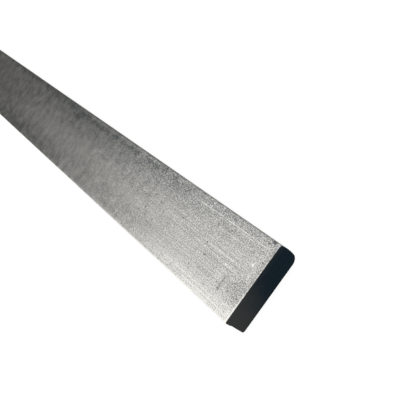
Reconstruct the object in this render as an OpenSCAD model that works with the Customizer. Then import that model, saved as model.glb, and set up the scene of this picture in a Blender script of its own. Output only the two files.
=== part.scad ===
// Hot rolled stainless flat bar, sawn to length, with its edges and ends broken.
// X runs across the width, Y along the length and Z up. The origin is the middle of the underside.

/* [Bar] */
// Length between the two sawn ends
bar_length = 500; // [100:1:1000]
// Width at the widest point of the crowned edge
bar_width = 30; // [20:0.5:60]
// Thickness between the flats
bar_thickness = 10; // [8:0.5:16]

/* [Rolled edges] */
// Radius of the arc that crowns the right edge
crown_radius = 24; // [16:0.5:80]
// Height of the crown's widest point above the underside
crown_height = 6; // [4:0.25:8]
// Radius of the worn lower right corner
lower_right_radius = 3; // [1:0.1:4]
// Radius of the upper right corner
upper_right_radius = 0.4; // [0.2:0.05:0.8]
// Radius of the upper left corner
upper_left_radius = 0.7; // [0.2:0.05:1.5]
// Radius of the lower left corner
lower_left_radius = 0.8; // [0.2:0.05:1.5]

/* [Sawn ends] */
// Depth of the chamfer filed on the upper edge of each end
upper_chamfer = 0.25; // [0.1:0.05:0.8]
// Depth of the chamfer filed on the lower edge of each end
lower_chamfer = 0.15; // [0.1:0.05:0.8]
// Depth of the chamfer filed on the side edges of each end
side_chamfer = 0.15; // [0.1:0.05:1]

/* [Hidden] */
$fn = 128;
// Room that a cutter takes beyond the face that it cuts
overcut = 1;
half_length = bar_length / 2;
half_width = bar_width / 2;
crown_centre = [half_width - crown_radius, crown_height];

// Across position of a fillet that touches the crown from inside, for its centre's height and radius
function fillet_x(height, radius) =
    crown_centre[0] + sqrt(pow(crown_radius - radius, 2) - pow(height - crown_centre[1], 2));

// Point where the line from the crown's centre through a fillet's centre meets the crown
function crown_touch(centre) =
    crown_centre + (centre - crown_centre) * crown_radius / norm(centre - crown_centre);

// What a fillet takes off a corner: the region past its arc, between its two points of touch
module corner_waste(centre, radius, first_touch, corner, second_touch) {
    difference() {
        polygon([centre, first_touch, corner, second_touch]);
        translate(centre) circle(r = radius);
    }
}

// What a fillet takes off a square corner of the left edge
module square_waste(height, radius, up) {
    centre = [-half_width + radius, height - up * radius];
    corner_waste(centre, radius, [centre[0], height + up * overcut],
        [-half_width - overcut, height + up * overcut], [-half_width - overcut, centre[1]]);
}

// What a fillet takes off the corner between the crown and a flat
module crown_waste(height, radius, up) {
    centre = [fillet_x(height - up * radius, radius), height - up * radius];
    reach = (crown_touch(centre) - centre) * (radius + overcut) / radius;
    corner_waste(centre, radius, [centre[0], height + up * overcut],
        [half_width + overcut, height + up * overcut], centre + reach);
}

// The rolled section: a plate with one crowned edge and four corners of their own radii
module rolled_section() {
    difference() {
        intersection() {
            translate([-half_width, 0]) square([bar_width, bar_thickness]);
            translate(crown_centre) circle(r = crown_radius);
        }
        square_waste(bar_thickness, upper_left_radius, 1);
        square_waste(0, lower_left_radius, -1);
        crown_waste(bar_thickness, upper_right_radius, 1);
        crown_waste(0, lower_right_radius, -1);
    }
}

// A rectangle with its two low and its two high corners cut at 45 degrees
module chamfered_rectangle(half_x, low_y, high_y, low_chamfer, high_chamfer) {
    polygon([
        [half_x - low_chamfer, low_y], [half_x, low_y + low_chamfer],
        [half_x, high_y - high_chamfer], [half_x - high_chamfer, high_y],
        [high_chamfer - half_x, high_y], [-half_x, high_y - high_chamfer],
        [-half_x, low_y + low_chamfer], [low_chamfer - half_x, low_y]
    ]);
}

// The rolled bar before it is sawn and filed
module rolled_length() {
    translate([0, half_length + overcut, 0])
        rotate([90, 0, 0])
            linear_extrude(bar_length + 2 * overcut) rolled_section();
}

// The sawn ends seen from the side, with the upper and lower edges filed
module sawn_side() {
    translate([-half_width - overcut, 0, 0])
        rotate([90, 0, 90])
            linear_extrude(bar_width + 2 * overcut)
                chamfered_rectangle(half_length, 0, bar_thickness, lower_chamfer, upper_chamfer);
}

// The sawn ends seen from above, with the side edges filed
module sawn_plan() {
    translate([0, 0, -overcut])
        rotate([0, 0, 90])
            linear_extrude(bar_thickness + 2 * overcut)
                chamfered_rectangle(half_length, -half_width, half_width, side_chamfer, side_chamfer);
}

module flat_bar() {
    color([0.68, 0.68, 0.66])
        intersection() {
            rolled_length();
            sawn_side();
            sawn_plan();
        }
}

flat_bar();
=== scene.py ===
"""Dresses a length of hot rolled, pickled stainless flat bar: its fine skin, finish, studio and viewpoint."""

import logging
import math
from dataclasses import dataclass
from enum import Enum

import bpy
import numpy as np
from mathutils import Matrix, Vector


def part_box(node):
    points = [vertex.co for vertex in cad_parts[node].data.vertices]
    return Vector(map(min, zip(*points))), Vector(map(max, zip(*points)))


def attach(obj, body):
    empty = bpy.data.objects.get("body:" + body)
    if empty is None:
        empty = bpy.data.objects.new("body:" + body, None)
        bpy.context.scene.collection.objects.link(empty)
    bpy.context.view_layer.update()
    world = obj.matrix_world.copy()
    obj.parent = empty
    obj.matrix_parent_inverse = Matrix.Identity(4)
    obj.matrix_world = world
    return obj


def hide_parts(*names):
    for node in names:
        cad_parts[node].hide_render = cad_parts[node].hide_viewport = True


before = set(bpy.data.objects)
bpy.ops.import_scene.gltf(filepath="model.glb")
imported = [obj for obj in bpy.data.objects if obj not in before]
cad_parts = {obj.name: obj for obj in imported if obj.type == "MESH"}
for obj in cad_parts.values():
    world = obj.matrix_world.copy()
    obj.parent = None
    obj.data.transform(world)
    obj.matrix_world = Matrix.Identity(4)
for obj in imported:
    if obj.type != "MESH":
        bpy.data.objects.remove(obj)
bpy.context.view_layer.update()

MM = 0.001
NODE = "flat_bar"
LOG = logging.getLogger("flat_bar")

Array = np.ndarray
Value = "Wire | float | tuple[float, ...]"


class Kind(Enum):
    """What a socket carries."""

    NUMBER = "number"
    VECTOR = "vector"


class Wire:
    """A node's output socket, on which Python's operators lay down the maths nodes."""

    def __init__(self, bench: "Bench", socket: bpy.types.NodeSocket, kind: Kind = Kind.NUMBER) -> None:
        """Args:
            bench: the material's node layer.
            socket: the output that this wire starts from.
            kind: whether it carries a number or a vector.
        """
        self.bench = bench
        self.socket = socket
        self.kind = kind

    def combine(self, operation: str, *values: Value) -> "Wire":
        """Feeds values to one maths node.

        Args:
            operation: the name of the Math or Vector Math operation.
            values: the node's inputs in order.

        Returns:
            The node's result, of this wire's kind.
        """
        vector = self.kind is Kind.VECTOR
        node = self.bench.node(
            "ShaderNodeVectorMath" if vector else "ShaderNodeMath",
            {"operation": operation},
            dict(enumerate(values)),
        )
        return Wire(self.bench, node.outputs[0], self.kind)

    def __add__(self, other: Value) -> "Wire":
        """Sum."""
        return self.combine("ADD", self, other)

    def __radd__(self, other: Value) -> "Wire":
        """Sum with the wire on the right."""
        return self.combine("ADD", other, self)

    def __sub__(self, other: Value) -> "Wire":
        """Difference."""
        return self.combine("SUBTRACT", self, other)

    def __rsub__(self, other: Value) -> "Wire":
        """Difference with the wire on the right."""
        return self.combine("SUBTRACT", other, self)

    def __mul__(self, other: Value) -> "Wire":
        """Product."""
        return self.combine("MULTIPLY", self, other)

    def __rmul__(self, other: Value) -> "Wire":
        """Product with the wire on the right."""
        return self.combine("MULTIPLY", other, self)

    def __truediv__(self, other: Value) -> "Wire":
        """Quotient."""
        return self.combine("DIVIDE", self, other)

    def __pow__(self, other: Value) -> "Wire":
        """Power."""
        return self.combine("POWER", self, other)

    def absolute(self) -> "Wire":
        """Size without its sign."""
        return self.combine("ABSOLUTE", self)

    def highest(self, other: Value) -> "Wire":
        """The greater of two numbers."""
        return self.combine("MAXIMUM", self, other)

    def within(self, low: float, high: float) -> "Wire":
        """The number kept between two limits."""
        node = self.bench.node("ShaderNodeClamp", None, {"Value": self, "Min": low, "Max": high})
        return Wire(self.bench, node.outputs["Result"])

    def tint(self, colour: tuple[float, float, float]) -> "Wire":
        """A colour made as bright as the number says."""
        node = self.bench.node("ShaderNodeVectorMath", {"operation": "MULTIPLY"}, {0: colour, 1: self})
        return Wire(self.bench, node.outputs[0], Kind.VECTOR)

    def ramp(self, start: float, end: float, low: float = 0.0, high: float = 1.0) -> "Wire":
        """Smooth step from low to high as the number goes from start to end.

        Args:
            start: the number at which the result is low.
            end: the number at which the result is high.
            low: the first result.
            high: the last result.

        Returns:
            The stepped number.
        """
        node = self.bench.node(
            "ShaderNodeMapRange",
            {"interpolation_type": "SMOOTHSTEP"},
            {"Value": self, "From Min": start, "From Max": end, "To Min": low, "To Max": high},
        )
        return Wire(self.bench, node.outputs["Result"])


class Bench:
    """Lays out the nodes of one material."""

    def __init__(self, name: str) -> None:
        """Args:
            name: the material's name.
        """
        self.material = bpy.data.materials.new(name)
        self.material.use_nodes = True
        self.tree = self.material.node_tree
        self.tree.nodes.clear()

    def node(
        self,
        kind: str,
        settings: dict[str, object] | None = None,
        inputs: dict[int | str, Value] | None = None,
    ) -> bpy.types.Node:
        """Adds a node, sets it up and feeds its sockets.

        Args:
            kind: the node's type.
            settings: its properties, which are set first.
            inputs: values or wires by socket name or number.

        Returns:
            The node.
        """
        node = self.tree.nodes.new(kind)
        for name, value in (settings or {}).items():
            setattr(node, name, value)
        for key, value in (inputs or {}).items():
            if isinstance(value, Wire):
                self.tree.links.new(value.socket, node.inputs[key])
            else:
                node.inputs[key].default_value = value
        return node

    def place(self) -> "Wire":
        """The surface point in the part's own frame, in millimetres."""
        coordinates = self.node("ShaderNodeTexCoord")
        return Wire(self, coordinates.outputs["Object"], Kind.VECTOR) * (1 / MM, 1 / MM, 1 / MM)

    def parts(self, vector: Wire) -> tuple[Wire, Wire, Wire]:
        """The three numbers of a vector."""
        node = self.node("ShaderNodeSeparateXYZ", None, {0: vector})
        return Wire(self, node.outputs[0]), Wire(self, node.outputs[1]), Wire(self, node.outputs[2])

    def number(self, value: float) -> Wire:
        """A wire that carries one number."""
        node = self.node("ShaderNodeValue")
        node.outputs[0].default_value = value
        return Wire(self, node.outputs[0])

    def noise(self, at: Wire, per_mm: float, detail: float = 2.0, roughness: float = 0.5) -> Wire:
        """Smooth noise about zero.

        Args:
            at: the point that it is read at.
            per_mm: how many blobs there are to a millimetre.
            detail: how many finer layers are added.
            roughness: how strong each finer layer is.

        Returns:
            A number from about -1 to 1.
        """
        node = self.node(
            "ShaderNodeTexNoise",
            None,
            {"Vector": at, "Scale": per_mm, "Detail": detail, "Roughness": roughness},
        )
        spread = 3.2
        return (Wire(self, node.outputs["Fac"]) - 0.5) * spread

    def mix(self, factor: Value, first: Value, second: Value, colour: bool = False) -> Wire:
        """Blends two numbers or two colours.

        Args:
            factor: 0 for the first, 1 for the second.
            first: a number or a colour.
            second: a number or a colour.
            colour: whether they are colours.

        Returns:
            The blend.
        """
        if not colour:
            node = self.node("ShaderNodeMix", {"data_type": "FLOAT"}, {0: factor, 2: first, 3: second})
            return Wire(self, node.outputs[0])
        node = self.node("ShaderNodeMix", {"data_type": "RGBA"}, {0: factor, 6: first, 7: second})
        return Wire(self, node.outputs[2], Kind.VECTOR)


def rgba(red: float, green: float, blue: float) -> tuple[float, float, float, float]:
    """An opaque colour."""
    return (red, green, blue, 1.0)


@dataclass
class Layer:
    """One finish over the whole surface, before masks lay it over another."""

    colour: Wire
    roughness: Wire
    metallic: Wire
    height: Wire

    def under(self, top: "Layer", mask: Wire) -> "Layer":
        """Covers this layer with another where a mask is 1.

        Args:
            top: the layer that covers this one.
            mask: where it lies.

        Returns:
            The joint layer.
        """
        bench = mask.bench
        return Layer(
            bench.mix(mask, self.colour, top.colour, colour=True),
            bench.mix(mask, self.roughness, top.roughness),
            bench.mix(mask, self.metallic, top.metallic),
            bench.mix(mask, self.height, top.height),
        )


@dataclass(frozen=True)
class Mark:
    """A soft-edged patch on the top face, in millimetres from the painted end and the middle."""

    across: float
    along: float
    half_width: float
    half_length: float
    strength: float
    ragged: float = 0.5

    @classmethod
    def pit(cls, across: float, along: float, radius: float, strength: float) -> "Mark":
        """A small crisp spot, drawn out along the rolling direction."""
        drawn_out = 1.5
        return cls(across, along, radius, radius * drawn_out, strength, ragged=0.1)

    def mask(self, across: Wire, along: Wire, noise: Wire) -> Wire:
        """How much of the patch covers each point: a smooth step in the square of the distance from its middle.

        Args:
            across: distance to the right of the bar's middle.
            along: distance from the painted end.
            noise: what breaks up the patch's edge.

        Returns:
            A number from 0 to the patch's strength.
        """
        reach = ((across - self.across) / self.half_width) ** 2.0
        reach = reach + ((along - self.along) / self.half_length) ** 2.0
        return (reach + noise * self.ragged).ramp(1.5, -0.3) * self.strength


@dataclass(frozen=True)
class Scratch:
    """A fine bright line along the top face, in millimetres from the painted end and the middle."""

    across: float
    start: float
    end: float
    drift: float
    strength: float = 1.0
    half_width: float = 0.26

    def mask(self, across: Wire, along: Wire, dotted: Wire) -> Wire:
        """How bright the line is at each point.

        Args:
            across: distance to the right of the bar's middle.
            along: distance from the painted end.
            dotted: a number that breaks the line into dashes.

        Returns:
            A number from 0 to 1.
        """
        slope = self.drift / (self.end - self.start)
        off = (across - self.across - (along - self.start) * slope).absolute()
        fade = 6.0
        span = along.ramp(self.start, self.start + fade) * along.ramp(self.end, self.end - fade)
        return off.ramp(self.half_width, 0.0) * span * dotted * self.strength


@dataclass(frozen=True)
class PickledSteel:
    """The matt grey skin that hot rolling, annealing and pickling leave, with painted highlights and painted shade in
    its colour.
    """

    clean: tuple[float, float, float] = (0.590, 0.580, 0.553)
    # The colour of stains and pits, and of the painted shade on the right margin.
    stained: tuple[float, float, float, float] = rgba(0.130, 0.147, 0.152)
    # A painted cool reflection, laid on the right end of the painted rim highlight.
    cool: tuple[float, float, float, float] = rgba(0.530, 0.545, 0.585)
    brightest: float = 1.67
    roughness: float = 0.31
    # Dark patches. Those along the right margin, from 10.4 mm right of the middle and past 50 mm along, are painted
    # shade: the right of the top face drawn darker as if it lay away from the light. The others are stains.
    dark: tuple[Mark, ...] = (
        Mark(across=-5.6, along=4.4, half_width=4.6, half_length=3.8, strength=0.26, ragged=1.5),
        Mark(across=-6.2, along=11.4, half_width=3.4, half_length=0.5, strength=0.40, ragged=0.8),
        Mark(across=-6.0, along=8.4, half_width=3.2, half_length=0.4, strength=0.28, ragged=0.8),
        Mark(across=14.0, along=3.3, half_width=1.2, half_length=1.6, strength=0.5, ragged=0.3),
        Mark(across=11.6, along=58.5, half_width=3.2, half_length=7.0, strength=0.68, ragged=0.8),
        Mark(across=12.2, along=122.0, half_width=1.8, half_length=104.0, strength=0.80, ragged=0.9),
        Mark(across=10.4, along=151.0, half_width=3.4, half_length=9.5, strength=0.80, ragged=0.7),
        Mark(across=2.8, along=96.0, half_width=2.6, half_length=34.0, strength=0.20, ragged=1.0),
        Mark(across=-8.0, along=98.0, half_width=3.2, half_length=5.0, strength=0.22, ragged=1.0),
        Mark(across=-11.5, along=184.0, half_width=6.5, half_length=36.0, strength=0.24, ragged=1.0),
        Mark(across=14.5, along=190.0, half_width=3.4, half_length=90.0, strength=0.74, ragged=0.6),
        Mark(across=-12.2, along=205.0, half_width=3.6, half_length=50.0, strength=0.55, ragged=0.6),
        Mark(across=18.0, along=115.0, half_width=15.0, half_length=130.0, strength=0.62, ragged=0.25),
    )
    pits: tuple[Mark, ...] = (
        Mark.pit(14.15, 2.8, radius=0.72, strength=1.2),
        Mark.pit(13.0, 4.5, radius=0.48, strength=0.95),
        Mark.pit(6.8, 1.9, radius=0.40, strength=0.9),
        Mark.pit(-7.0, 2.2, radius=0.45, strength=0.8),
        Mark.pit(7.8, 7.7, radius=0.40, strength=0.8),
        Mark.pit(-8.2, 11.5, radius=0.50, strength=0.8),
        Mark.pit(13.0, 23.2, radius=0.50, strength=0.95),
        Mark.pit(12.7, 25.8, radius=0.40, strength=0.7),
        Mark.pit(9.3, 21.2, radius=0.38, strength=0.7),
        Mark.pit(9.2, 23.7, radius=0.38, strength=0.7),
        Mark.pit(-2.5, 25.5, radius=0.50, strength=0.9),
        Mark.pit(-10.3, 18.0, radius=0.40, strength=0.6),
        Mark.pit(11.8, 55.0, radius=0.45, strength=0.8),
        Mark.pit(12.5, 56.8, radius=0.60, strength=1.0),
        Mark.pit(11.8, 60.0, radius=0.50, strength=0.8),
        Mark.pit(2.2, 60.8, radius=0.45, strength=0.8),
        Mark.pit(-2.8, 67.3, radius=0.50, strength=0.85),
        Mark.pit(13.9, 70.2, radius=0.65, strength=1.1),
    )
    # Bright patches. The broad one left of the middle, the strip along the left edge, the spot at the left corner of
    # the painted end and the thin strips along both edges are painted highlights: the top face drawn brighter on the
    # left as if lit from the left. The others are brighter spots in the skin.
    bright: tuple[Mark, ...] = (
        Mark(across=-16.5, along=26.0, half_width=8.5, half_length=52.0, strength=0.60, ragged=0.2),
        Mark(across=-14.65, along=8.0, half_width=0.45, half_length=95.0, strength=0.95, ragged=0.1),
        Mark(across=-13.0, along=1.8, half_width=3.2, half_length=1.8, strength=0.8, ragged=0.2),
        Mark(across=-6.0, along=32.0, half_width=4.5, half_length=17.0, strength=0.14, ragged=0.5),
        Mark(across=-5.0, along=14.2, half_width=3.5, half_length=2.2, strength=0.3, ragged=0.3),
        Mark(across=4.45, along=4.75, half_width=0.5, half_length=0.6, strength=2.0, ragged=0.1),
        Mark(across=-0.8, along=14.5, half_width=0.4, half_length=0.6, strength=1.0, ragged=0.1),
        Mark(across=0.8, along=3.5, half_width=0.4, half_length=0.5, strength=0.8, ragged=0.1),
        Mark(across=14.5, along=0.5, half_width=1.5, half_length=1.0, strength=0.5, ragged=0.1),
        Mark(across=13.7, along=100.0, half_width=0.7, half_length=50.0, strength=0.22, ragged=0.3),
        Mark(across=-14.3, along=95.0, half_width=0.9, half_length=45.0, strength=0.30, ragged=0.3),
        Mark(across=-3.0, along=90.0, half_width=3.0, half_length=28.0, strength=0.13, ragged=0.5),
        Mark(across=-3.0, along=172.0, half_width=5.5, half_length=50.0, strength=0.22, ragged=0.8),
    )
    scratches: tuple[Scratch, ...] = (
        Scratch(across=11.45, start=8.0, end=45.0, drift=0.0, strength=1.9, half_width=0.27),
        Scratch(across=11.25, start=31.0, end=48.0, drift=-0.1, strength=1.5, half_width=0.2),
        Scratch(across=11.3, start=1.0, end=12.0, drift=0.1, strength=1.3, half_width=0.2),
        Scratch(across=10.6, start=7.0, end=21.0, drift=-0.1, strength=1.0, half_width=0.18),
        Scratch(across=1.67, start=8.0, end=58.0, drift=-0.1, strength=0.75, half_width=0.19),
        Scratch(across=-0.67, start=7.0, end=38.0, drift=0.7, strength=0.75, half_width=0.19),
        Scratch(across=-11.6, start=4.0, end=44.0, drift=0.1, strength=0.6),
        Scratch(across=-12.9, start=2.0, end=30.0, drift=0.0, strength=0.5),
    )

    def layer(self, bench: Bench, point: Wire, across: Wire, along: Wire, top: Wire) -> Layer:
        """Builds the finish.

        Args:
            bench: the material's node layer.
            point: the surface point in millimetres.
            across: distance to the right of the bar's middle.
            along: distance from the painted end.
            top: 1 on the top face and 0 elsewhere.

        Returns:
            The finish over the whole surface.
        """
        grain = bench.noise(point * (1.0, 0.75, 1.0), 3.0, 1.0, 0.6)
        fleck = bench.noise(point * (1.0, 0.7, 1.0) + (3.0, 50.0, 9.0), 1.25, 1.0)
        mottle = bench.noise(point, 0.28, 3.0, 0.55)
        cloud = bench.noise(point * (1.0, 0.3, 1.0), 0.06, 2.0)
        lines = bench.noise(point * (1.0, 0.014, 1.0), 2.6, 1.0, 0.6)
        hidden = along.ramp(410.0, 310.0)
        beyond = along.ramp(30.0, 90.0) * hidden
        far = along.ramp(60.0, 125.0) * hidden
        rubbed_corner = across.ramp(-14.2, -14.6) * 0.8
        speckle = grain * (1.4 - far * 1.2) + fleck * (0.2 + beyond * 0.35 - far * 0.3)
        speckle = speckle * (1.0 - rubbed_corner) * (1.0 - along.ramp(125.0, 190.0) * hidden * 0.5)
        dotted = speckle.ramp(-1.1, -0.1)
        scored = bench.noise(point * (1.0, 0.012, 1.0) + (37.0, 11.0, 5.0), 2.2, 1.0)
        worn = bench.noise(point + (5.0, 90.0, 31.0), 0.035, 1.0).ramp(-0.2, 0.9)
        scratch = scored.ramp(0.62, 1.0) * dotted * worn * 0.7
        for line in self.scratches:
            scratch = scratch.highest(line.mask(across, along, dotted) * top)
        # Painted highlight on the first millimetre of the top face at the painted end, bright on the left and turning
        # to painted shade from the middle rightwards; just behind it, a painted shade line over the right of the top
        # face.
        rim = along.ramp(1.0, 0.6) * top
        behind = along.ramp(0.6, 1.0) * along.ramp(1.8, 1.2) * top
        # Painted shade: the skin a fifth darker from 13.95 mm right of the middle outwards.
        rolled_edge = across.ramp(13.95, 14.5) * 0.2
        # Stains from the mottle, then the dark patches laid over them, painted shade on the right margin among them.
        stain = (mottle * 0.35 + cloud).ramp(0.55, 1.5) * 0.4
        blotch = mottle * 0.7 + speckle * 0.6
        for mark in self.dark:
            stain = stain.highest(mark.mask(across, along, blotch) * top)
        # The strongest bright patch at each point, painted highlights among them.
        polish = scratch * 0.0
        for mark in self.bright:
            polish = polish.highest(mark.mask(across, along, blotch) * top)
        cells = bench.node("ShaderNodeTexVoronoi", {"feature": "F1"}, {"Vector": point, "Scale": 0.72})
        from_middle = Wire(bench, cells.outputs["Distance"])
        pitted, shiny, _ = bench.parts(Wire(bench, cells.outputs["Color"], Kind.VECTOR))
        pit = from_middle.ramp(0.36, 0.10) * pitted.ramp(0.955, 0.985)
        glint = from_middle.ramp(0.30, 0.08) * shiny.ramp(0.97, 0.99) * top
        brightness = 1.0 + speckle * 0.66 + mottle * (0.09 + beyond * 0.06 + far * 0.16) + cloud * 0.05
        # Brighter where scratched, at the bright patches with their painted highlights, and at glints.
        brightness = brightness + lines * (0.25 - beyond * 0.2) + scratch * 0.9 + polish * 0.7 + glint * 0.5
        # The painted rim highlight and shade, and the painted shade line behind the rim.
        brightness = brightness + rim * (across.ramp(2.0, -12.0) * 0.66 - 0.13) - behind * across.ramp(-9.0, -1.0) * 0.2
        # Painted light: the skin up to 15% brighter from 70 mm to 250 mm along, fading back between 310 mm and 410 mm.
        brightness = brightness * (1.0 - rolled_edge) * (1.0 + along.ramp(70.0, 250.0) * hidden * 0.15)
        brightness = brightness.within(0.25, self.brightest)
        colour = brightness.tint(self.clean)
        # A painted cool reflection at the rim's right end.
        colour = bench.mix(rim * across.ramp(11.0, 14.0), colour, self.cool, colour=True)
        # How far stains, pits and the painted shade on the right margin darken the colour.
        cover = (stain * (1.0 + speckle * -1.2) * (1.0 - polish.within(0.0, 1.0) * 0.45)).highest(pit * 0.85)
        for mark in self.pits:
            cover = cover.highest(mark.mask(across, along, blotch) * top)
        colour = bench.mix(cover, colour, self.stained, colour=True)
        roughness = self.roughness + mottle * 0.02 + stain * 0.06 - scratch * 0.04
        height = grain * 0.003 + fleck * 0.004 + lines * 0.003 - scratch * 0.004 - pit * 0.05
        return Layer(colour, roughness, bench.number(1.0), height)


@dataclass(frozen=True)
class SawCut:
    """The bare end that a band saw leaves, with fine lines across the width."""

    bright: tuple[float, float, float, float] = rgba(0.74, 0.735, 0.71)
    shade: tuple[float, float, float, float] = rgba(0.42, 0.415, 0.40)
    roughness: float = 0.34

    def layer(self, bench: Bench, point: Wire) -> Layer:
        """Builds the finish.

        Args:
            bench: the material's node layer.
            point: the surface point in millimetres.

        Returns:
            The finish over the whole surface.
        """
        marks = bench.noise(point * (0.05, 1.0, 1.0), 2.4, 3.0, 0.6)
        smear = bench.noise(point, 0.5, 2.0)
        tone = 0.6 + marks * 0.35 + smear * 0.15
        colour = bench.mix(tone.ramp(0.0, 1.0), self.shade, self.bright, colour=True)
        return Layer(colour, self.roughness + smear * 0.04, bench.number(1.0), marks * 0.012)


@dataclass(frozen=True)
class EndPaint:
    """Matt black paint on a sawn end, with the saw's lines showing faintly through it and painted light making it paler
    towards the left.
    """

    # The black paint, its blue tint a painted cool reflection.
    thick: tuple[float, float, float, float] = rgba(0.0035, 0.0110, 0.0185)
    # The paint's paler tone, for the painted light from the left and for the streak near the top.
    thin: tuple[float, float, float, float] = rgba(0.0400, 0.0430, 0.0420)
    roughness: float = 0.5

    def layer(self, bench: Bench, point: Wire, across: Wire, upwards: Wire) -> Layer:
        """Builds the finish.

        Args:
            bench: the material's node layer.
            point: the surface point in millimetres.
            across: distance to the right of the bar's middle.
            upwards: height above the underside.

        Returns:
            The finish over the whole surface.
        """
        marks = bench.noise(point * (0.06, 1.0, 1.0), 1.8, 2.0)
        peel = bench.noise(point, 1.6, 2.0)
        smear = bench.noise(point, 0.25, 2.0)
        # Painted light: the paint paler towards the left and towards the top, as if lit from the left.
        rubbed = (across + smear * 2.0 - upwards * 0.5).ramp(3.0, -17.5)
        streak = (upwards + marks * 0.6 + smear * 0.8).ramp(7.2, 9.6) * 0.22
        colour = bench.mix(rubbed.highest(streak) + peel * 0.05, self.thick, self.thin, colour=True)
        return Layer(colour, self.roughness + peel * 0.04, bench.number(0.0), marks * 0.004 + peel * 0.004)


@dataclass(frozen=True)
class BarFinish:
    """The whole bar's finish: pickled skin, filed chamfers, one painted end and one bare end."""

    steel: PickledSteel = PickledSteel()
    cut: SawCut = SawCut()
    paint: EndPaint = EndPaint()
    specular: float = 0.05
    grazing_tint: tuple[float, float, float, float] = rgba(0.40, 0.40, 0.40)
    ragged_edge: float = 0.03

    def material(self, half_length: float, thickness: float) -> bpy.types.Material:
        """Lays the layers over each other in one material.

        Args:
            half_length: half the bar's length, in metres.
            thickness: the bar's thickness, in metres.

        Returns:
            The material.
        """
        bench = Bench("pickled_stainless_with_painted_end")
        point = bench.place()
        across, lengthways, upwards = bench.parts(point)
        end = half_length / MM
        along = lengthways + end
        top = upwards.ramp(thickness / MM - 0.6, thickness / MM - 0.3)
        skin = self.steel.layer(bench, point, across, along, top)
        ragged = bench.noise(point, 2.2, 2.0) * self.ragged_edge
        bare_end = (lengthways + ragged).ramp(end - 0.12, end - 0.06)
        over_rim = (along + ragged).ramp(0.24, 0.18) * upwards.ramp(thickness / MM - 0.3, thickness / MM - 0.7)
        painted_end = (along + ragged).ramp(0.23, 0.17).highest(over_rim)
        whole = skin.under(self.cut.layer(bench, point), bare_end)
        whole = whole.under(self.paint.layer(bench, point, across, upwards), painted_end)
        relief = bench.node("ShaderNodeBump", None, {"Strength": 1.0, "Distance": MM, "Height": whole.height})
        shader = bench.node(
            "ShaderNodeBsdfPrincipled",
            None,
            {
                "Base Color": whole.colour,
                "Roughness": whole.roughness,
                "Metallic": whole.metallic,
                "Specular IOR Level": self.specular,
                "Specular Tint": self.grazing_tint,
                "Normal": Wire(bench, relief.outputs["Normal"], Kind.VECTOR),
            },
        )
        output = bench.node("ShaderNodeOutputMaterial")
        bench.tree.links.new(shader.outputs["BSDF"], output.inputs["Surface"])
        return bench.material


@dataclass(frozen=True)
class Waves:
    """A band of gentle surface waves, the sum of plane waves in random directions."""

    height: float
    shortest: float
    longest: float
    count: int
    seed: int
    stretch: float = 1.0

    def at(self, points: Array) -> Array:
        """Sums cosines of (direction . point) over wavelengths spread evenly by ratio.

        Args:
            points: an (n, 3) array in metres.

        Returns:
            n heights in metres, about zero.
        """
        draw = np.random.default_rng(self.seed)
        directions = draw.normal(size=(self.count, 3))
        directions /= np.linalg.norm(directions, axis=1, keepdims=True)
        lengths = self.shortest * (self.longest / self.shortest) ** draw.random(self.count)
        phases = draw.random(self.count) * 2 * math.pi
        vectors = directions * (2 * math.pi / lengths)[:, None]
        vectors[:, 1] /= self.stretch
        return self.height * math.sqrt(2 / self.count) * np.cos(points @ vectors.T + phases).sum(axis=1)


@dataclass(frozen=True)
class Dent:
    """One rounded dent, pressed along the surface normal."""

    centre: tuple[float, float, float]
    radius: float
    depth: float

    def at(self, points: Array) -> Array:
        """Depth times exp(-(distance / radius) squared).

        Args:
            points: an (n, 3) array in metres.

        Returns:
            n depths in metres.
        """
        squares = ((points - np.array(self.centre)) ** 2).sum(axis=1)
        return self.depth * np.exp(-squares / self.radius**2)


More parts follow.
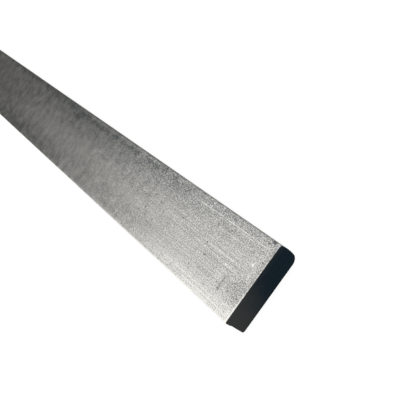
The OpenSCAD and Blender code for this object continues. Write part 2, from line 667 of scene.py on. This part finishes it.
@dataclass(frozen=True)
class Section:
    """The rolled section: two flats, a straight left edge, a crowned right edge and four corner arcs."""

    width: float
    thickness: float
    crown_radius: float = 24.0 * MM
    crown_height: float = 6.0 * MM
    lower_right: float = 3.0 * MM
    upper_right: float = 0.4 * MM
    upper_left: float = 0.7 * MM
    lower_left: float = 0.8 * MM
    arc_steps: int = 48

    def arc(self, centre: Array, radius: float, start: float, end: float) -> Array:
        """Points centre + radius * (cos, sin) as the angle goes from start to end.

        Args:
            centre: the arc's centre.
            radius: its radius.
            start: its first angle, in radians.
            end: its last angle, in radians.

        Returns:
            An (arc_steps, 2) array.
        """
        angles = np.linspace(start, end, self.arc_steps)
        return centre + radius * np.stack([np.cos(angles), np.sin(angles)], axis=1)

    def sides(self) -> tuple[Array, Array, Array, Array]:
        """Fine outlines of the underside, right edge, top and left edge, each between the middles of its corner arcs.

        A right corner's arc touches the crown from inside, so its centre lies crown_radius - radius from the
        crown's centre, and the line through both centres gives the angle at which the two arcs meet.

        Returns:
            Four arrays of points (across, up). Underside and top run left to right, and the edges run upwards.
        """
        half = self.width / 2
        crown = np.array([half - self.crown_radius, self.crown_height])

        def right_corner(radius: float, height: float) -> tuple[Array, float]:
            """Centre of a right corner's arc, and the angle at which it meets the crown."""
            reach = math.sqrt((self.crown_radius - radius) ** 2 - (height - self.crown_height) ** 2)
            centre = np.array([crown[0] + reach, height])
            return centre, math.atan2(height - self.crown_height, reach)

        low_right, low_meet = right_corner(self.lower_right, self.lower_right)
        high_right, high_meet = right_corner(self.upper_right, self.thickness - self.upper_right)
        high_left = np.array([-half + self.upper_left, self.thickness - self.upper_left])
        low_left = np.array([-half + self.lower_left, self.lower_left])
        low_mid = (low_meet - math.pi / 2) / 2
        high_mid = (high_meet + math.pi / 2) / 2
        down, left = -math.pi / 2, math.pi
        underside = [
            self.arc(low_left, self.lower_left, -0.75 * math.pi, down),
            self.arc(low_right, self.lower_right, down, low_mid),
        ]
        right = [
            self.arc(low_right, self.lower_right, low_mid, low_meet),
            self.arc(crown, self.crown_radius, low_meet, high_meet),
            self.arc(high_right, self.upper_right, high_meet, high_mid),
        ]
        top = [
            self.arc(high_left, self.upper_left, 0.75 * math.pi, math.pi / 2),
            self.arc(high_right, self.upper_right, math.pi / 2, high_mid),
        ]
        left_edge = [
            self.arc(low_left, self.lower_left, 1.25 * math.pi, left),
            self.arc(high_left, self.upper_left, left, 0.75 * math.pi),
        ]
        return tuple(np.concatenate(side) for side in (underside, right, top, left_edge))

    @staticmethod
    def spaced(side: Array, count: int, crowding: float) -> Array:
        """Resamples an outline so that its points crowd towards its ends.

        The share of the length at step t is t - crowding * sin(2 pi t) / (2 pi).

        Args:
            side: a fine outline.
            count: how many steps to make.
            crowding: from 0, even, to nearly 1, crowded.

        Returns:
            A (count + 1, 2) array.
        """
        steps = np.linspace(0, 1, count + 1)
        shares = steps - crowding * np.sin(2 * math.pi * steps) / (2 * math.pi)
        lengths = np.concatenate([[0], np.cumsum(np.linalg.norm(np.diff(side, axis=0), axis=1))])
        return np.stack([np.interp(shares * lengths[-1], lengths, side[:, axis]) for axis in (0, 1)], axis=1)

    def loop(self, columns: int, rows: int) -> Array:
        """The whole outline, anticlockwise from the lower left corner.

        Args:
            columns: steps along the underside and the top.
            rows: steps up each edge.

        Returns:
            A (2 * (columns + rows), 2) array.
        """
        underside, right, top, left = self.sides()
        parts = (
            self.spaced(underside, columns, 0.86)[:-1],
            self.spaced(right, rows, 0.55)[:-1],
            self.spaced(top, columns, 0.86)[:0:-1],
            self.spaced(left, rows, 0.55)[:0:-1],
        )
        return np.concatenate(parts)


@dataclass
class BarSkin:
    """The bar's own skin as one closed mesh: rolled faces, worn edges, filed chamfers and sawn ends."""

    section: Section
    length: float
    upper_chamfer: float = 0.25 * MM
    lower_chamfer: float = 0.15 * MM
    side_chamfer: float = 0.15 * MM
    columns: int = 58
    rows: int = 20
    rings: int = 604
    ring_crowding: float = 1.4
    waviness: Waves = Waves(height=0.008 * MM, shortest=18 * MM, longest=70 * MM, count=40, seed=11, stretch=1.6)
    ripple: Waves = Waves(height=0.0016 * MM, shortest=4 * MM, longest=11 * MM, count=70, seed=23, stretch=1.3)
    nick_count: int = 80
    nick_seed: int = 5
    edge_fall: float = 0.06 * MM
    edge_fall_power: int = 10
    lap_height: float = 6.9 * MM
    lap_depth: float = 0.13 * MM
    lap_slope: float = 0.35 * MM
    saw_step: float = 2.3 * MM
    saw_depth: float = 0.03 * MM
    finish: BarFinish = BarFinish()

    def stations(self) -> Array:
        """Places of the rings along the length, crowded towards the ends as a hyperbolic tangent."""
        first = np.array([0.0, self.side_chamfer / 2, self.side_chamfer, self.upper_chamfer])
        half = self.length / 2
        steps = np.linspace(-1, 1, self.rings - 2 * len(first) + 2)
        spread = np.tanh(self.ring_crowding * steps) / math.tanh(self.ring_crowding)
        middle = (half - self.upper_chamfer) * spread
        return np.concatenate([-half + first[:-1], middle, half - first[-2::-1]])

    def normals(self, loop: Array) -> Array:
        """Outward normals of a closed outline, from the step between each point's neighbours."""
        step = np.roll(loop, -1, axis=0) - np.roll(loop, 1, axis=0)
        step /= np.linalg.norm(step, axis=1, keepdims=True)
        return np.stack([step[:, 1], -step[:, 0]], axis=1)

    def nicks(self) -> list[Dent]:
        """Random small dents along the four long corners, and the worn ones at the painted end."""
        draw = np.random.default_rng(self.nick_seed)
        half_width, half_length = self.section.width / 2, self.length / 2
        thickness = self.section.thickness
        dents = [
            Dent((half_width - 0.2 * MM, -half_length + 0.3 * MM, thickness), 0.9 * MM, 0.22 * MM),
            Dent((-half_width, -half_length, thickness - 3.4 * MM), 0.55 * MM, 0.12 * MM),
            Dent((-half_width, -half_length + 0.4 * MM, thickness - 4.6 * MM), 0.5 * MM, 0.08 * MM),
        ]
        for _ in range(self.nick_count):
            across = half_width * (1 if draw.random() < 0.5 else -1)
            height = thickness if draw.random() < 0.6 else 0.0
            along = (draw.random() * 2 - 1) * half_length
            radius = draw.uniform(0.6, 2.2) * MM
            dents.append(Dent((across, along, height), radius, draw.uniform(0.02, 0.06) * MM))
        return dents

    def relief(self, points: Array) -> Array:
        """How far the worn skin lies inside the true section.

        The waves are lowered by their own peak, so that nothing stands proud of the rolled size.

        Args:
            points: an (n, 3) array on the true section.

        Returns:
            n depths in metres, none below zero.
        """
        waves = self.waviness.at(points) + self.ripple.at(points)
        depth = waves.max() - waves
        for nick in self.nicks():
            depth += nick.at(points)
        return depth

    def body(self) -> Array:
        """The rolled skin as rings of points.

        Ring j is the outline at station j. Towards an end it draws in along its normal, by what is left of
        the chamfer there, sideways and upwards by their own depths. Each flat falls off towards its edges as
        edge_fall * (distance from the middle / half width) ** edge_fall_power. The left edge steps in below
        its rolling lap by lap_depth, and comes back out in proportion to the height down to the underside.

        Returns:
            A (rings, points round the outline, 3) array.
        """
        loop = self.section.loop(self.columns, self.rows)
        normals = self.normals(loop)
        along = self.stations()
        to_end = self.length / 2 - np.abs(along)
        upper_inset, lower_inset, side_inset = (
            np.clip(chamfer - to_end, 0, None)[:, None]
            for chamfer in (self.upper_chamfer, self.lower_chamfer, self.side_chamfer)
        )
        flat_inset = np.where(normals[:, 1] > 0, upper_inset, lower_inset)
        points = np.empty((len(along), len(loop), 3))
        points[:, :, 0] = loop[:, 0] - normals[:, 0] * side_inset
        points[:, :, 1] = along[:, None]
        points[:, :, 2] = loop[:, 1] - normals[:, 1] * flat_inset
        depth = self.relief(points.reshape(-1, 3)).reshape(points.shape[:2])
        outward = np.abs(loop[:, 0]) * 2 / self.section.width
        depth += self.edge_fall * outward**self.edge_fall_power * normals[:, 1] ** 2
        below = np.clip((self.lap_height - loop[:, 1]) / self.lap_slope, 0, 1)
        depth += self.lap_depth * below * loop[:, 1] / self.lap_height * np.clip(-normals[:, 0], 0, 1) ** 2
        points[:, :, 0] -= normals[:, 0] * depth
        points[:, :, 2] -= normals[:, 1] * depth
        return points

    def cap(self, ring: Array, outward: float) -> tuple[Array, Array]:
        """A sawn end as a patch between the four sides of its ring.

        Point (u, v) is the blend of underside and top by v, plus the blend of the edges by u, less the blend
        of the four corners by both. The saw's broad steps press it in by a cosine of the height, which fades
        out towards the ring.

        Args:
            ring: the ring's points.
            outward: 1 for the far end and -1 for the painted one.

        Returns:
            The patch's inner points, and the place of each patch point in the list ring + inner points.
        """
        columns, rows = self.columns, self.rows
        index = np.zeros((rows + 1, columns + 1), int)
        index[0, :] = np.arange(columns + 1)
        index[:, columns] = columns + np.arange(rows + 1)
        index[rows, ::-1] = columns + rows + np.arange(columns + 1)
        index[::-1, 0] = (2 * columns + rows + np.arange(rows + 1)) % len(ring)
        index[1:-1, 1:-1] = len(ring) + np.arange((rows - 1) * (columns - 1)).reshape(rows - 1, columns - 1)
        u = np.linspace(0, 1, columns + 1)[None, 1:-1, None]
        v = np.linspace(0, 1, rows + 1)[1:-1, None, None]
        low, high = ring[index[0, 1:-1]][None], ring[index[rows, 1:-1]][None]
        left, right = ring[index[1:-1, 0]][:, None], ring[index[1:-1, columns]][:, None]
        corners = [ring[index[a, b]] for a, b in ((0, 0), (0, columns), (rows, 0), (rows, columns))]
        blend = (1 - v) * low + v * high + (1 - u) * left + u * right
        blend -= (1 - v) * ((1 - u) * corners[0] + u * corners[1]) + v * ((1 - u) * corners[2] + u * corners[3])
        slant = blend[..., 2] + 0.06 * blend[..., 0]
        fade = np.clip(10 * np.minimum(u, 1 - u), 0, 1)[..., 0] * np.clip(5 * np.minimum(v, 1 - v), 0, 1)[..., 0]
        pressed = self.saw_depth * (0.5 - 0.5 * np.cos(2 * math.pi * slant / self.saw_step)) * fade
        blend[..., 1] -= outward * pressed
        return blend.reshape(-1, 3), index

    def mesh(self) -> bpy.types.Mesh:
        """Joins the rings and both ends into one closed mesh of four-sided faces."""
        body = self.body()
        count, around = body.shape[:2]
        index = np.arange(count * around).reshape(count, around)
        here, there = index[:-1], index[1:]
        faces = [np.stack([here, np.roll(here, -1, 1), np.roll(there, -1, 1), there], -1).reshape(-1, 4)]
        points = [body.reshape(-1, 3)]
        total = count * around
        for ring, outward in ((0, -1.0), (count - 1, 1.0)):
            inner, patch = self.cap(body[ring], outward)
            places = np.concatenate([index[ring], total + np.arange(len(inner))])[patch]
            quads = np.stack([places[:-1, :-1], places[:-1, 1:], places[1:, 1:], places[1:, :-1]], -1).reshape(-1, 4)
            faces.append(quads if outward < 0 else quads[:, ::-1])
            points.append(inner)
            total += len(inner)
        mesh = bpy.data.meshes.new("flat_bar_skin")
        mesh.from_pydata(np.concatenate(points), [], np.concatenate(faces))
        mesh.polygons.foreach_set("use_smooth", np.ones(len(mesh.polygons), bool))
        mesh.update()
        return mesh

    def build(self) -> bpy.types.Object:
        """Makes the piece, dresses it and fits it to the frame in place of the plain solid."""
        piece = bpy.data.objects.new("flat_bar_skin", self.mesh())
        bpy.context.scene.collection.objects.link(piece)
        piece.data.materials.append(self.finish.material(self.length / 2, self.section.thickness))
        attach(piece, "root")
        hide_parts(NODE)
        return piece


@dataclass
class Floor:
    """A plain pale floor that keeps the bar's soft shadow."""

    half_size: float = 30.0
    albedo: float = 0.30
    glow: float = 0.79

    def build(self) -> bpy.types.Object:
        """Makes the floor at the height that the bar lies on."""
        corners = [(-1, -1), (1, -1), (1, 1), (-1, 1)]
        mesh = bpy.data.meshes.new("floor")
        mesh.from_pydata([(a * self.half_size, b * self.half_size, 0.0) for a, b in corners], [], [(0, 1, 2, 3)])
        floor = bpy.data.objects.new("floor", mesh)
        bpy.context.scene.collection.objects.link(floor)
        mesh.materials.append(self.material())
        return floor

    def material(self) -> bpy.types.Material:
        """Matt white that shows near white to the camera and in metal, and keeps its shade."""
        bench = Bench("pale_floor")
        path = bench.node("ShaderNodeLightPath")
        seen = Wire(bench, path.outputs["Is Camera Ray"])
        for name in ("Is Glossy Ray", "Is Transmission Ray"):
            seen = seen.highest(Wire(bench, path.outputs[name]))
        shade = rgba(self.albedo, self.albedo, self.albedo)
        matt = bench.node("ShaderNodeBsdfDiffuse", None, {"Color": shade})
        glow = bench.node("ShaderNodeEmission", None, {"Color": rgba(1, 1, 1), "Strength": seen * self.glow})
        both = bench.node("ShaderNodeAddShader")
        output = bench.node("ShaderNodeOutputMaterial")
        bench.tree.links.new(matt.outputs[0], both.inputs[0])
        bench.tree.links.new(glow.outputs[0], both.inputs[1])
        bench.tree.links.new(both.outputs[0], output.inputs["Surface"])
        return bench.material


@dataclass
class Card:
    """An upright studio card across the bar's line, which shows only in the metal."""

    name: str
    left: float
    right: float
    height: float
    level: float
    distance: float = 0.95
    lift: float = 0.002

    def build(self) -> bpy.types.Object:
        """Stands the card beyond the bar's far end and gives it an even glow of its level."""
        points = [
            (self.left, self.distance, self.lift),
            (self.right, self.distance, self.lift),
            (self.right, self.distance, self.height),
            (self.left, self.distance, self.height),
        ]
        mesh = bpy.data.meshes.new(self.name)
        mesh.from_pydata(points, [], [(0, 1, 2, 3)])
        card = bpy.data.objects.new(self.name, mesh)
        bpy.context.scene.collection.objects.link(card)
        bench = Bench(self.name)
        glow = bench.node("ShaderNodeEmission", None, {"Strength": self.level})
        output = bench.node("ShaderNodeOutputMaterial")
        bench.tree.links.new(glow.outputs[0], output.inputs["Surface"])
        mesh.materials.append(bench.material)
        for rays in ("camera", "diffuse", "transmission", "shadow"):
            setattr(card, f"visible_{rays}", False)
        return card


@dataclass
class SoftBox:
    """A large soft lamp aimed at one point."""

    name: str
    place: tuple[float, float, float]
    aim: tuple[float, float, float]
    size: float
    power: float
    colour: tuple[float, float, float] = (1.0, 1.0, 1.0)

    def build(self) -> bpy.types.Object:
        """Makes the square area lamp."""
        lamp = bpy.data.lights.new(self.name, "AREA")
        lamp.shape = "SQUARE"
        lamp.size = self.size
        lamp.energy = self.power
        lamp.color = self.colour
        box = bpy.data.objects.new(self.name, lamp)
        towards = Vector(self.aim) - Vector(self.place)
        box.matrix_world = Matrix.Translation(self.place) @ towards.to_track_quat("-Z", "Y").to_matrix().to_4x4()
        box.visible_camera = False
        bpy.context.scene.collection.objects.link(box)
        return box


@dataclass
class Sky:
    """The pale, even light of the room."""

    level: float = 1.0
    colour: tuple[float, float, float] = (1.0, 1.0, 1.0)

    def build(self) -> bpy.types.World:
        """Sets the scene's world."""
        world = bpy.data.worlds.new("pale_room")
        world.use_nodes = True
        background = world.node_tree.nodes["Background"]
        background.inputs["Color"].default_value = rgba(*self.colour)
        background.inputs["Strength"].default_value = self.level
        bpy.context.scene.world = world
        return world


@dataclass
class Viewpoint:
    """The photograph's viewpoint, measured from the middle of the painted end's upper edge."""

    right_of_middle: float = 11.17 * MM
    before_end: float = 137.26 * MM
    above_top: float = 155.57 * MM
    look_down: float = 41.653
    heading: float = -0.146
    roll: float = -54.372
    focal_pixels: float = 670.0
    picture_pixels: float = 416.0
    sensor: float = 36.0
    nearest: float = 0.01

    def build(self, half_length: float, thickness: float) -> bpy.types.Object:
        """Makes the camera: level right and up for its heading and tilt, then both turned by its roll.

        Args:
            half_length: half the bar's length, in metres.
            thickness: the bar's thickness, in metres.

        Returns:
            The camera.
        """
        heading, tilt, roll = (math.radians(a) for a in (self.heading, self.look_down, self.roll))
        forward = Vector(
            (math.sin(heading) * math.cos(tilt), math.cos(heading) * math.cos(tilt), -math.sin(tilt))
        )
        level_right = forward.cross(Vector((0, 0, 1))).normalized()
        level_up = level_right.cross(forward)
        right = math.cos(roll) * level_right + math.sin(roll) * level_up
        up = math.cos(roll) * level_up - math.sin(roll) * level_right
        place = Vector((self.right_of_middle, -half_length - self.before_end, thickness + self.above_top))
        lens = bpy.data.cameras.new("viewpoint")
        lens.sensor_width = self.sensor
        lens.lens = self.sensor * self.focal_pixels / self.picture_pixels
        lens.clip_start = self.nearest
        camera = bpy.data.objects.new("viewpoint", lens)
        turn = Matrix((right, up, -forward)).transposed().to_4x4()
        camera.matrix_world = Matrix.Translation(place) @ turn
        bpy.context.scene.collection.objects.link(camera)
        bpy.context.scene.camera = camera
        return camera


def report(piece: bpy.types.Object) -> None:
    """Logs a piece's name, faces and size."""
    size = ", ".join(f"{side / MM:.1f}" for side in piece.dimensions)
    LOG.info("%s: %d faces, %s mm", piece.name, len(piece.data.polygons), size)


def main() -> None:
    """Builds the bar, the studio and the viewpoint."""
    logging.basicConfig(level=logging.INFO, format="%(name)s: %(message)s")
    low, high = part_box(NODE)
    size = high - low
    section = Section(width=size.x, thickness=size.z)
    skin = BarSkin(section=section, length=size.y)
    report(skin.build())
    report(Floor().build())
    report(Card("dark_card", left=-0.55, right=2.5, height=0.79, level=0.04).build())
    report(Card("pale_card", left=-3.0, right=-0.60, height=0.55, level=1.5).build())
    SoftBox("key", place=(-0.5, -1.6, 1.45), aim=(0.0, -0.25, 0.0), size=0.8, power=4.5).build()
    Sky().build()
    Viewpoint().build(size.y / 2, size.z)
    bpy.context.scene.view_settings.view_transform = "Standard"


if __name__ == "__main__":
    main()
